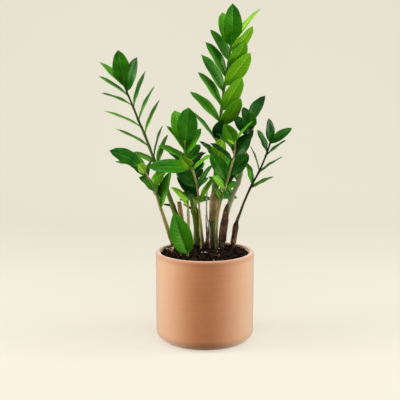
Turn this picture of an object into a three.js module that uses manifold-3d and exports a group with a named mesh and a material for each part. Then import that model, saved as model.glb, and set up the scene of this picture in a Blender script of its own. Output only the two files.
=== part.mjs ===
// A potted ZZ plant: a plain clay cylinder pot, the potting mix that fills it, the buried
// rhizomes, and the fronds that rise from them. Each frond is one compound leaf that grew as
// one piece, a stalk with its leaflets, so each is one solid. Millimetres, +Z up. The origin is
// the centre of the pot's resting face, +X is the plant's right and -Y is its front.
import * as THREE from 'three';
import { mergeVertices } from 'three/addons/utils/BufferGeometryUtils.js';
import Module from 'manifold-3d';

// Pot
const POT_RADIUS = 76;
const POT_FOOT_RADIUS = 75.4;
const POT_HEIGHT = 140.5;
const POT_WALL = 8;
const POT_FLOOR = 10;
const POT_CORNER = 22;
const POT_RIM_ROUND = 3.2;
const POT_SEGMENTS = 40;
const DRAIN_HOLES = 3;
const DRAIN_RADIUS = 6;
const DRAIN_CIRCLE = 30;

// Fit between pieces that touch
const GAP = 0.35;

// Potting mix: its level at the wall, and how far the middle is heaped above that
const SOIL_EDGE = 136;
const SOIL_HEAP = 3;
const SOIL_RINGS = 3;

// Stalks and leaflets
const STALK_SIDES = 6;
const STALK_STEP = 24;
const ROOT_REACH = 14;
const LEAFLET_STATIONS = [0.1, 0.27, 0.5, 0.73, 0.91];
const LEAFLET_THICKNESS = 1.3;
const LEAFLET_FOLD = 0.16;
const LEAFLET_BOW = 0.05;
const LEAFLET_NECK = 0.9;
const LEAFLET_LEAN = 0.92;
const LEAFLET_POINT = 4.4;
const LEAFLET_TAPER = [0.95, 0.56];
// Leaflets turned further than this (degrees) from facing the front are straighter.
const SIDEWAYS_TURN = 70;
const TERMINAL_OVERLAP = 3;
// Halvings in the search for the place where a stalk reaches a height
const SEARCH_HALVINGS = 24;

// Sheaths: the papery scale leaves round the foot of a stalk
const SHEATH_THICKNESS = 0.9;
const SHEATH_CLEARANCE = 0.9;
const SHEATH_RINGS = 7;
const SHEATH_POINTS = 7;
const SHEATH_NARROWING = 2.5;

const COLOURS = {
  clay: { color: 0xd59a70, roughness: 0.85 },
  soil: { color: 0x1c1410, roughness: 0.95 },
  leaf: { color: 0x2f6a14, roughness: 0.35 },
  youngLeaf: { color: 0x6fae1e, roughness: 0.35 },
  driedSheath: { color: 0x6b4a35, roughness: 0.8 },
  paleSheath: { color: 0xa3a552, roughness: 0.6 },
  tuber: { color: 0xb08d62, roughness: 0.7 },
};

// Each frond's stalk is a list of [x, y, z, radius] from its foot upwards. Each leaflet is
// [height, right, back, up, width, turn]: the height at which it leaves the stalk, its tip
// measured from there, its width, and the angle in degrees by which its face is turned about
// its own length away from the plant's front. A taper replaces the usual leaflet outline's.
const FRONDS = [
  {
    name: 'frond_left_tall',
    colour: 'leaf',
    stalk: [
      [-27, 40, 118, 5], [-29, 40, 142, 5.4], [-42, 42, 178, 4.6], [-55, 44, 216, 3.6],
      [-69, 46, 251, 2.8], [-81, 48, 280, 2.3], [-94, 50, 315, 2], [-103, 51, 336, 1.8],
      [-112, 52, 359, 1.6], [-120, 53, 378, 1.4], [-126, 54, 394, 1.2],
    ],
    leaflets: [
      [391, -9, -8, 56, 27, 5], [389, -40, 6, 39, 22, 68], [382, 17, -10, 54, 23, -42],
      [376, -46, -6, 31, 21, 82], [361, -49, 8, 19, 20, 86], [358, 19, 8, 56, 24, -74],
      [338, 26, -4, 53, 24, -76], [328, -57, -6, 25, 20, 86], [316, 24, 8, 54, 24, -76],
      [297, -53, 6, 27, 20, 85], [279, 15, -6, 52, 22, -84], [263, 16, 10, 52, 22, -68],
      [271, -36, 6, 17, 22, 76], [230, -11, -8, 14, 12, 49], [203, -15, 0, 3, 4, 39],
    ],
  },
  {
    name: 'frond_left_low',
    colour: 'leaf',
    stalk: [
      [-47, 28, 118, 4], [-48, 28, 140, 4.2], [-54, 24, 158, 3.5], [-62, 18, 184, 2.9],
      [-69, 12, 207, 2.3], [-75, 6, 228, 1.8], [-84, 1, 248, 1.6], [-91, -3, 263, 1.5],
      [-97, -6, 275, 1.4],
    ],
    leaflets: [
      [273, -49, -6, 26, 24, 45], [271, -43, 14, 7, 22, 80], [262, -25, 26, 31, 21, 75],
      [263, -10, -18, 15, 16, 32], [257, -29, -14, 23, 22, 60], [254, 6, 16, 28, 20, -70],
      [233, -23, -16, 24, 22, 65], [236, 18, 10, 32, 22, -50], [222, 2, 14, 30, 18, -60],
      [204, 17, -10, 60, 22, -50],
    ],
  },
  {
    name: 'frond_centre_upright',
    colour: 'leaf',
    stalk: [
      [-5, 37, 118, 4.4], [-7, 37, 143, 4.8], [-11, 36, 168, 5.8], [-15, 33, 193, 5.6],
      [-20, 28, 216, 3.8], [-26, 19, 247, 2.1], [-30, 10, 281, 1.8], [-31, 4, 311, 1.6],
    ],
    leaflets: [
      [308, 6, 10, 53, 31, 5], [305, -16, 26, 50, 28, 20], [294, -28, 4, 39, 22, 76],
      [289, 25, 6, 40, 24, -50], [281, -42, -6, 22, 22, 75], [272, -30, 6, 25, 24, 60],
      [275, 22, 12, 28, 24, -50], [257, 24, 26, 33, 24, -60], [255, -26, 12, 22, 24, 50],
      [250, 25, 4, 28, 24, -50], [236, 22, 10, 28, 22, -60], [264, 30, 10, 27, 20, -77],
      [197, -19, 2, 11, 4, 39],
    ],
  },
  {
    name: 'frond_front_short',
    colour: 'leaf',
    stalk: [
      [-1, 27, 118, 2.2], [-2, 26, 140, 2.2], [-4, 22, 159, 1.9], [-7, 14, 186, 1.7],
      [-9, 6, 211, 1.6], [-11, -4, 236, 1.5], [-14, -13, 253, 1.5], [-19, -23, 270, 1.5],
      [-23, -27, 276, 1.4],
    ],
    leaflets: [
      [275, -65, -12, 3, 25, 45], [273, -16, -30, 22, 18, 0], [269, 28, -6, 24, 20, -80],
      [243, -32, 2, 25, 24, 35], [224, -33, 6, 31, 24, 40], [236, 23, -4, 40, 16, -62],
      [215, 29, -8, 46, 12, -55], [217, -26, 8, 14, 19, 78],
    ],
  },
  {
    name: 'frond_centre_tall',
    colour: 'leaf',
    taper: [0.75, 0.56],
    stalk: [
      [15, 36, 118, 5.4], [14, 36, 140, 5.7], [14, 40, 173, 6], [15, 44, 208, 6.2],
      [18, 48, 257, 4], [21, 50, 305, 2.8], [25, 50, 346, 2.2], [30, 46, 388, 1.8],
      [36, 42, 424, 1.5], [40, 38, 456, 1.3],
    ],
    leaflets: [
      [453, 2, -12, 64, 28, 10], [452, -13, 18, 52, 26, 25], [449, 47, 10, 61, 22, -68],
      [444, 34, -12, 40, 23, 46], [430, -29, 8, 48, 24, 50], [418, 28, -8, 43, 25, 28],
      [404, -32, -6, 55, 24, 55], [391, 40, -6, 52, 26, 26], [381, -35, 8, 59, 25, 55],
      [359, -37, -4, 54, 25, 65], [352, 32, -8, 54, 26, 26], [335, -47, 6, 47, 25, 60],
      [330, 33, -9, 43, 24, 26], [301, -43, -10, 52, 24, 82], [306, 9, -10, 34, 24, -12],
      [263, 10, -12, 49, 25, -26], [271, -22, -6, 33, 22, 69], [279, -28, 2, 26, 20, 79],
      [235, 9, -16, -24, 14, -56],
    ],
  },
  {
    name: 'frond_centre_slender',
    colour: 'leaf',
    stalk: [
      [20, 20, 118, 3], [19, 20, 140, 3], [18, 17, 165, 2.6], [20, 13, 193, 2.1],
      [26, 8, 222, 1.7], [34, 2, 249, 1.6], [40, -3, 272, 1.5], [45, -8, 294, 1.5],
      [45, -12, 314, 1.4],
    ],
    leaflets: [
      [311, -16, -26, 30, 21, 0], [311, 27, 2, 31, 16, -87], [308, -18, -12, 14, 12, 51],
      [297, -28, 8, 26, 22, 74], [286, 26, -6, 38, 24, -28], [281, -35, 4, 27, 22, 74],
      [258, 31, 6, 31, 25, -28], [249, -26, 12, 42, 25, 31], [238, -20, -18, 20, 16, 52],
      [236, 9, -4, -18, 8, -62], [240, 18, 14, 30, 20, -50], [220, -12, -6, 18, 16, 75],
    ],
  },
  {
    name: 'frond_right_dark',
    colour: 'leaf',
    stalk: [
      [28, 36, 118, 5], [27, 36, 140, 5.2], [29, 38, 166, 4.8], [35, 40, 193, 4.2],
      [44, 42, 221, 3.8], [53, 42, 242, 3.5], [59, 42, 267, 2.8], [65, 40, 305, 2],
      [71, 36, 340, 1.5],
    ],
    leaflets: [
      [337, 23, 4, 40, 23, -45], [327, 0, -18, 27, 21, -5], [322, -8, 10, 37, 22, 40],
      [313, -20, 18, 32, 22, 40], [318, 12, 8, 26, 20, -50], [291, 14, 12, 32, 22, -65],
      [276, -24, 12, 31, 23, 45], [254, 10, 20, 32, 22, -55], [240, -12, 16, 28, 20, 55],
      [214, -14, 8, 26, 18, 60],
    ],
  },
  {
    name: 'frond_right_slender',
    colour: 'leaf',
    stalk: [
      [44, 32, 118, 3.2], [44, 32, 140, 3.3], [50, 32, 178, 2.7], [56, 31, 196, 2],
      [62, 30, 213, 1.8], [73, 27, 239, 1.7], [85, 23, 263, 1.5], [95, 19, 289, 1.4],
      [101, 16, 309, 1.3],
    ],
    leaflets: [
      [306, -3, -6, 39, 17, 35], [305, 34, 4, 24, 17, -45], [291, -15, 8, 35, 17, 60],
      [286, 30, -8, 25, 16, -84], [262, -15, -10, 40, 17, 82], [259, 38, 8, 24, 17, -85],
      [241, -11, -12, 35, 18, 60], [234, 36, -6, 19, 18, -80],
    ],
  },
  {
    name: 'frond_young',
    colour: 'youngLeaf',
    stalk: [
      [-21, 21, 118, 2.6], [-22, 19, 142, 2.6], [-25, 12, 167, 2.3], [-26, 4, 190, 2],
      [-26, -4, 210, 1.7], [-26, -8, 221, 1.4],
    ],
    leaflets: [
      [217, -26, -6, 25, 15, 60], [213, -10, -8, 15, 10, 41],
    ],
  },
  {
    name: 'frond_back_left',
    colour: 'leaf',
    stalk: [
      [-14, 58, 118, 4.2], [-14, 59, 142, 4.2], [-14, 65, 166, 3.6], [-15, 77, 192, 2.8],
      [-17, 94, 220, 2], [-18, 112, 244, 1.5],
    ],
    leaflets: [
      [242, -1, 44, 26, 24, 20], [239, -26, 34, 16, 22, 60], [235, 17, 38, 24, 22, -60],
      [226, -28, 24, 10, 23, 65], [219, 22, 28, 18, 23, -65], [207, -22, 30, -4, 22, 70],
      [200, 24, 28, 6, 22, -70],
    ],
  },
  {
    name: 'frond_back_right',
    colour: 'leaf',
    stalk: [
      [14, 58, 118, 4.2], [15, 59, 142, 4.2], [16, 66, 168, 3.6], [20, 80, 196, 2.8],
      [27, 98, 224, 2], [33, 116, 246, 1.5],
    ],
    leaflets: [
      [244, 8, 44, 24, 24, -20], [241, -18, 38, 20, 22, 60], [236, 32, 28, 16, 22, -60],
      [225, -18, 34, 12, 23, 65], [219, 32, 24, 10, 23, -65], [208, 30, 28, -2, 22, -70],
    ],
  },
  {
    name: 'leaf_at_soil',
    colour: 'leaf',
    taper: [0.5, 0.95],
    stalk: [
      [-26, -34, 118, 1.6], [-26, -34, 131, 1.8], [-26, -32, 144, 1.8],
    ],
    leaflets: [
      [141, -21, -4, 68, 31, 12],
    ],
  },
];

// A cut-off stalk, and a thin dry one, with no leaflets.
const BARE_STALKS = [
  {
    name: 'cut_stalk',
    colour: 'driedSheath',
    stalk: [
      [-33, 27, 118, 3.9], [-33, 27, 142, 3.9], [-36, 27, 180, 3.8], [-40, 26, 212, 3.5],
    ],
  },
  {
    name: 'dry_stalk',
    colour: 'paleSheath',
    stalk: [
      [8, 23, 118, 1.5], [9, 22, 145, 1.5], [8, 18, 168, 1.4], [3, 14, 196, 1.3],
      [3, 10, 236, 1.1],
    ],
  },
];

// A sheath wraps part of a stalk: the heights of its foot and top, the way its middle faces
// (degrees from +X, anticlockwise from above) and how far round the stalk it reaches.
const SHEATHS = [
  {
    name: 'sheath_centre_upright',
    frond: 'frond_centre_upright',
    colour: 'paleSheath',
    foot: 140,
    top: 212,
    faces: -10,
    reach: 150,
  },
  {
    name: 'sheath_centre_tall',
    frond: 'frond_centre_tall',
    colour: 'driedSheath',
    foot: 180,
    top: 230,
    faces: -105,
    reach: 220,
  },
  {
    name: 'sheath_right_dark',
    frond: 'frond_right_dark',
    colour: 'driedSheath',
    foot: 148,
    top: 208,
    faces: -130,
    reach: 250,
  },
  {
    name: 'sheath_right_slender',
    frond: 'frond_right_slender',
    colour: 'driedSheath',
    foot: 146,
    top: 184,
    faces: -100,
    reach: 270,
  },
];

// Rhizomes: [x, y, z] of the middle and the half sizes of each tuber.
const RHIZOMES = [
  { name: 'rhizome_left', at: [-36, 28, 100], half: [14, 17, 15] },
  { name: 'rhizome_centre', at: [-8, 34, 99], half: [12, 20, 17] },
  { name: 'rhizome_right', at: [17, 33, 100], half: [11, 19, 16] },
  { name: 'rhizome_far_right', at: [40, 32, 102], half: [10, 15, 13] },
];
const RHIZOME_SEGMENTS = 14;
const RHIZOME_RIPPLE = 0.06;

const wasm = await Module();
wasm.setup();

function toSolid(geometry) {
  const bare = geometry.clone();
  bare.deleteAttribute('normal');
  bare.deleteAttribute('uv');
  const merged = mergeVertices(bare, 1e-4);
  const vertProperties = Float32Array.from(merged.attributes.position.array);
  const triVerts = Uint32Array.from(merged.index.array);
  return new wasm.Manifold(new wasm.Mesh({ numProp: 3, vertProperties, triVerts }));
}

function toGeometry(solid) {
  const mesh = solid.getMesh();
  const geometry = new THREE.BufferGeometry();
  const positions = Float32Array.from(mesh.vertProperties);
  geometry.setAttribute('position', new THREE.BufferAttribute(positions, 3));
  geometry.setIndex(new THREE.BufferAttribute(Uint32Array.from(mesh.triVerts), 1));
  geometry.computeVertexNormals();
  return geometry;
}

function makeMesh(name, solid, colour) {
  const material = new THREE.MeshStandardMaterial({ ...COLOURS[colour], metalness: 0 });
  const mesh = new THREE.Mesh(toGeometry(solid), material);
  mesh.name = name;
  return mesh;
}

// A closed skin over rings with equal numbers of points, with a fan to a point at each end.
// The rings run anticlockwise as seen from the end towards which they advance.
function loft(rings, start, end) {
  const count = rings[0].length;
  const points = [start, ...rings.flat(), end];
  const last = points.length - 1;
  const faces = [];
  for (let i = 0; i < count; i += 1) {
    const next = (i + 1) % count;
    faces.push(0, 1 + next, 1 + i);
    for (let r = 0; r < rings.length - 1; r += 1) {
      const low = 1 + r * count;
      const high = low + count;
      faces.push(low + i, low + next, high + next);
      faces.push(low + i, high + next, high + i);
    }
    const top = 1 + (rings.length - 1) * count;
    faces.push(top + i, top + next, last);
  }
  const geometry = new THREE.BufferGeometry().setFromPoints(points);
  geometry.setIndex(faces);
  return geometry;
}

function arc(centreX, centreY, radius, fromDegrees, toDegrees, steps) {
  const points = [];
  for (let i = 0; i <= steps; i += 1) {
    const angle = THREE.MathUtils.degToRad(fromDegrees + ((toDegrees - fromDegrees) * i) / steps);
    const x = centreX + radius * Math.cos(angle);
    const y = centreY + radius * Math.sin(angle);
    points.push(new THREE.Vector2(x, y));
  }
  return points;
}

// A body of revolution about the Z axis from an outline of (radius, height) points.
function turned(outline) {
  const geometry = new THREE.LatheGeometry(outline, POT_SEGMENTS);
  geometry.rotateX(Math.PI / 2);
  return geometry;
}

function makePot() {
  const inner = POT_RADIUS - POT_WALL;
  const corner = POT_CORNER - POT_WALL;
  const round = POT_RIM_ROUND;
  const outline = [
    new THREE.Vector2(0, 0),
    ...arc(POT_FOOT_RADIUS - POT_CORNER, POT_CORNER, POT_CORNER, -90, 0, 5),
    ...arc(POT_RADIUS - round, POT_HEIGHT - round, round, 0, 90, 2),
    ...arc(inner + round, POT_HEIGHT - round, round, 90, 180, 2),
    ...arc(inner - corner, POT_FLOOR + corner, corner, 0, -90, 3),
    new THREE.Vector2(0, POT_FLOOR),
  ];
  let pot = toSolid(turned(outline));
  for (let i = 0; i < DRAIN_HOLES; i += 1) {
    const angle = (2 * Math.PI * i) / DRAIN_HOLES + Math.PI / 2;
    const hole = new THREE.CylinderGeometry(DRAIN_RADIUS, DRAIN_RADIUS, POT_FLOOR * 3, 12);
    hole.rotateX(Math.PI / 2);
    hole.translate(DRAIN_CIRCLE * Math.cos(angle), DRAIN_CIRCLE * Math.sin(angle), 0);
    pot = pot.subtract(toSolid(hole));
  }
  return pot;
}

function makeSoilBlock() {
  const inner = POT_RADIUS - POT_WALL;
  const corner = POT_CORNER - POT_WALL;
  const radius = inner - GAP;
  const outline = [
    new THREE.Vector2(0, POT_FLOOR + GAP),
    ...arc(inner - corner, POT_FLOOR + corner, corner - GAP, -90, 0, 3),
  ];
  for (let i = 0; i <= SOIL_RINGS; i += 1) {
    const out = 1 - i / SOIL_RINGS;
    outline.push(new THREE.Vector2(radius * out, SOIL_EDGE + SOIL_HEAP * (1 - out * out)));
  }
  return toSolid(turned(outline));
}

function stalkCurve(stalk) {
  const points = stalk.map(([x, y, z]) => new THREE.Vector3(x, y, z));
  return new THREE.CatmullRomCurve3(points, false, 'catmullrom', 0.5);
}

// The radius at a place along the stalk, between those of the two points beside it.
function stalkRadius(stalk, t) {
  const place = t * (stalk.length - 1);
  const index = Math.min(Math.floor(place), stalk.length - 2);
  return THREE.MathUtils.lerp(stalk[index][3], stalk[index + 1][3], place - index);
}

// The place along the stalk at which it reaches a height.
function placeAtHeight(curve, height) {
  let low = 0;
  let high = 1;
  for (let i = 0; i < SEARCH_HALVINGS; i += 1) {
    const middle = (low + high) / 2;
    if (curve.getPoint(middle).z < height) low = middle;
    else high = middle;
  }
  return (low + high) / 2;
}

// Two directions square to the stalk, turning anticlockwise as seen from above.
function stalkSides(curve, t) {
  const along = curve.getTangent(t);
  const right = new THREE.Vector3(0, 1, 0).cross(along).normalize();
  const back = new THREE.Vector3().crossVectors(along, right);
  return { right, back };
}

function makeStalk(stalk, extra = 0) {
  const curve = stalkCurve(stalk);
  const steps = Math.max(3, Math.round(curve.getLength() / STALK_STEP));
  const rings = [];
  for (let i = 0; i <= steps; i += 1) {
    const t = i / steps;
    const { right, back } = stalkSides(curve, t);
    const radius = stalkRadius(stalk, t) + extra;
    const ring = [];
    for (let k = 0; k < STALK_SIDES; k += 1) {
      const angle = (2 * Math.PI * k) / STALK_SIDES;
      ring.push(
        curve
          .getPoint(t)
          .addScaledVector(right, radius * Math.cos(angle))
          .addScaledVector(back, radius * Math.sin(angle)),
      );
    }
    rings.push(ring);
  }
  return toSolid(loft(rings, curve.getPoint(0), curve.getPoint(1)));
}

// A leaflet's half width at a place along it, as a part of its greatest half width. The taper
// is how hollow the outline runs at the foot and at the tip, which ends in a short point.
function leafletOutline(t, taper) {
  const blade = Math.sin(Math.PI * t ** LEAFLET_LEAN) ** THREE.MathUtils.lerp(...taper, t);
  return Math.min(blade, LEAFLET_POINT * (1 - t));
}

function makeLeaflet(foot, right, back, up, width, turn, taper) {
  const length = Math.hypot(right, back, up);
  const along = new THREE.Vector3(right, back, up).divideScalar(length);
  const front = new THREE.Vector3(0, -1, 0);
  const face = front.addScaledVector(along, -front.dot(along)).normalize();
  face.applyAxisAngle(along, THREE.MathUtils.degToRad(turn));
  const side = new THREE.Vector3().crossVectors(along, face);
  const greatestBow = (Math.abs(turn) > SIDEWAYS_TURN ? 0.5 : 1) * LEAFLET_BOW * length;
  const rings = [[0, LEAFLET_NECK, LEAFLET_NECK]];
  for (const t of LEAFLET_STATIONS) {
    const half = Math.max(LEAFLET_NECK, (width / 2) * leafletOutline(t, taper));
    rings.push([t, half, LEAFLET_THICKNESS / 2]);
  }
  const middle = (t) => {
    const bow = 4 * greatestBow * t * (1 - t);
    return foot.clone().addScaledVector(along, length * t).addScaledVector(face, bow);
  };
  const skins = rings.map(([t, half, thick]) => {
    const lift = t > 0 ? LEAFLET_FOLD * half : 0;
    return [
      middle(t).addScaledVector(side, half).addScaledVector(face, lift),
      middle(t).addScaledVector(face, -thick),
      middle(t).addScaledVector(side, -half).addScaledVector(face, lift),
      middle(t).addScaledVector(face, thick),
    ];
  });
  return toSolid(loft(skins, foot, middle(1)));
}

function makeFrond(frond) {
  const curve = stalkCurve(frond.stalk);
  const taper = frond.taper ?? LEAFLET_TAPER;
  const top = frond.stalk.at(-1)[2];
  let solid = makeStalk(frond.stalk);
  for (const [height, right, back, up, width, turn] of frond.leaflets) {
    const foot = curve.getPoint(placeAtHeight(curve, Math.min(height, top - TERMINAL_OVERLAP)));
    solid = solid.add(makeLeaflet(foot, right, back, up, width, turn, taper));
  }
  return solid;
}

// A curved blade that hugs the stalk at its foot and narrows to a point at its top.
function makeSheath(sheath) {
  const { stalk } = FRONDS.find((frond) => frond.name === sheath.frond);
  const curve = stalkCurve(stalk);
  const rings = [];
  for (let i = 0; i <= SHEATH_RINGS; i += 1) {
    const rise = i / (SHEATH_RINGS + 1);
    const t = placeAtHeight(curve, THREE.MathUtils.lerp(sheath.foot, sheath.top, rise));
    const { right, back } = stalkSides(curve, t);
    const inner = stalkRadius(stalk, t) + SHEATH_CLEARANCE;
    const reach = sheath.reach * (1 - rise ** SHEATH_NARROWING);
    const place = (radius, part) => {
      const angle = THREE.MathUtils.degToRad(sheath.faces + reach * (part - 0.5));
      return curve
        .getPoint(t)
        .addScaledVector(right, radius * Math.cos(angle))
        .addScaledVector(back, radius * Math.sin(angle));
    };
    const ring = [];
    for (let k = 0; k < SHEATH_POINTS; k += 1) {
      ring.push(place(inner + SHEATH_THICKNESS, k / (SHEATH_POINTS - 1)));
    }
    for (let k = SHEATH_POINTS - 1; k >= 0; k -= 1) {
      ring.push(place(inner, k / (SHEATH_POINTS - 1)));
    }
    rings.push(ring);
  }
  return toSolid(loft(rings, ringMiddle(rings[0]), ringMiddle(rings.at(-1))));
}

// A point inside a sheath's ring: halfway through the blade at its middle.
function ringMiddle(ring) {
  const middle = (SHEATH_POINTS - 1) / 2;
  return ring[middle].clone().add(ring[2 * SHEATH_POINTS - 1 - middle]).divideScalar(2);
}

function makeRhizome(rhizome, extra = 0) {
  const geometry = new THREE.SphereGeometry(1, RHIZOME_SEGMENTS, RHIZOME_SEGMENTS / 2);
  const position = geometry.attributes.position;
  const point = new THREE.Vector3();
  for (let i = 0; i < position.count; i += 1) {
    point.fromBufferAttribute(position, i);
    const ripple = 1 + RHIZOME_RIPPLE * Math.sin(5 * point.x + 2 * point.y) * Math.cos(4 * point.z);
    point.multiplyScalar(ripple);
    point.set(
      point.x * (rhizome.half[0] + extra),
      point.y * (rhizome.half[1] + extra),
      point.z * (rhizome.half[2] + extra),
    );
    position.setXYZ(i, point.x, point.y, point.z);
  }
  geometry.translate(...rhizome.at);
  return toSolid(geometry);
}

function makeSoil() {
  let soil = makeSoilBlock();
  for (const rhizome of RHIZOMES) {
    soil = soil.subtract(makeRhizome(rhizome, 2 * GAP));
  }
  for (const { stalk } of [...FRONDS, ...BARE_STALKS]) {
    const [x, y, z, radius] = stalk[0];
    soil = soil.subtract(makeStalk(stalk, GAP));
    soil = soil.subtract(makeStalk([[x, y, z - ROOT_REACH, radius], [x, y, z + 1, radius]]));
  }
  return soil;
}

const plant = new THREE.Group();
plant.add(makeMesh('pot', makePot(), 'clay'));
plant.add(makeMesh('potting_mix', makeSoil(), 'soil'));
for (const rhizome of RHIZOMES) {
  plant.add(makeMesh(rhizome.name, makeRhizome(rhizome), 'tuber'));
}
for (const frond of FRONDS) {
  plant.add(makeMesh(frond.name, makeFrond(frond), frond.colour));
}
for (const bare of BARE_STALKS) {
  plant.add(makeMesh(bare.name, makeStalk(bare.stalk), bare.colour));
}
for (const sheath of SHEATHS) {
  plant.add(makeMesh(sheath.name, makeSheath(sheath), sheath.colour));
}

export default plant;
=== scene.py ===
"""A potted ZZ plant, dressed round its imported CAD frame.

The rows of stalks and leaflets are the same as the CAD part's, in millimetres.
"""
import math
import random

import bmesh
import bpy
from mathutils import Matrix, Vector, noise


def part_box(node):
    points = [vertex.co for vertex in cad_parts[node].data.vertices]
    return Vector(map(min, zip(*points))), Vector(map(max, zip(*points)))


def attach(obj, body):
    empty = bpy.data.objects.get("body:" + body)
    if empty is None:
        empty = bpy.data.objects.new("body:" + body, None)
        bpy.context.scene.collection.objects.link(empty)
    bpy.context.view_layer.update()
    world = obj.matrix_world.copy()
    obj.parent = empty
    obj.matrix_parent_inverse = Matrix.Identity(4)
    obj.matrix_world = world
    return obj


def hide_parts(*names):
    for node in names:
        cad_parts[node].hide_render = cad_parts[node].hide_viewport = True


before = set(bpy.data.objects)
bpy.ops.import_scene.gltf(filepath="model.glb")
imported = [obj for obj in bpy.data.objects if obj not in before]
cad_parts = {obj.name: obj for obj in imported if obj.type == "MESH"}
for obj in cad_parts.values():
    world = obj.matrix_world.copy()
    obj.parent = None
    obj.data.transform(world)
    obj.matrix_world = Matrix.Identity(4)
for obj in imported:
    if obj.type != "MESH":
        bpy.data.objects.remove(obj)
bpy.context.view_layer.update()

MM = 0.001
POT_LOW, POT_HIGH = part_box("pot")
SOIL_LOW, SOIL_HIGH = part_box("potting_mix")

# -------- measures (mm)

POT_RADIUS = (POT_HIGH.x - POT_LOW.x) / 2 / MM
POT_HEIGHT = POT_HIGH.z / MM
POT_FOOT_RADIUS = POT_RADIUS - 0.6
POT_WALL = 8
POT_FLOOR = 10
POT_CORNER = 18
POT_RIM_ROUND = 3.2
DRAIN_HOLES = 3
DRAIN_RADIUS = 6
DRAIN_CIRCLE = 30
GAP = 0.35
SOIL_EDGE = 136
SOIL_HEAP = 2.2

LEAFLET_BOW = 0.05
LEAFLET_THICKNESS = 0.9
LEAFLET_NECK = 1.15
LEAFLET_TAPER = (0.95, 0.56)
LEAFLET_LEAN = 0.92
LEAFLET_POINT = 4.4
SIDEWAYS_TURN = 70
KNOT_HEIGHT = 2.6
KNOT_SWELL = 0.22
SEARCH_HALVINGS = 24
SHEATH_CLEARANCE = 0.35
SHEATH_THICKNESS = 0.7
SHEATH_NARROWING = 2.5
ROOTLET_RADIUS = 0.55
ABOUT_A_TURN = 6.28

# -------- plant tables (mm)

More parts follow.
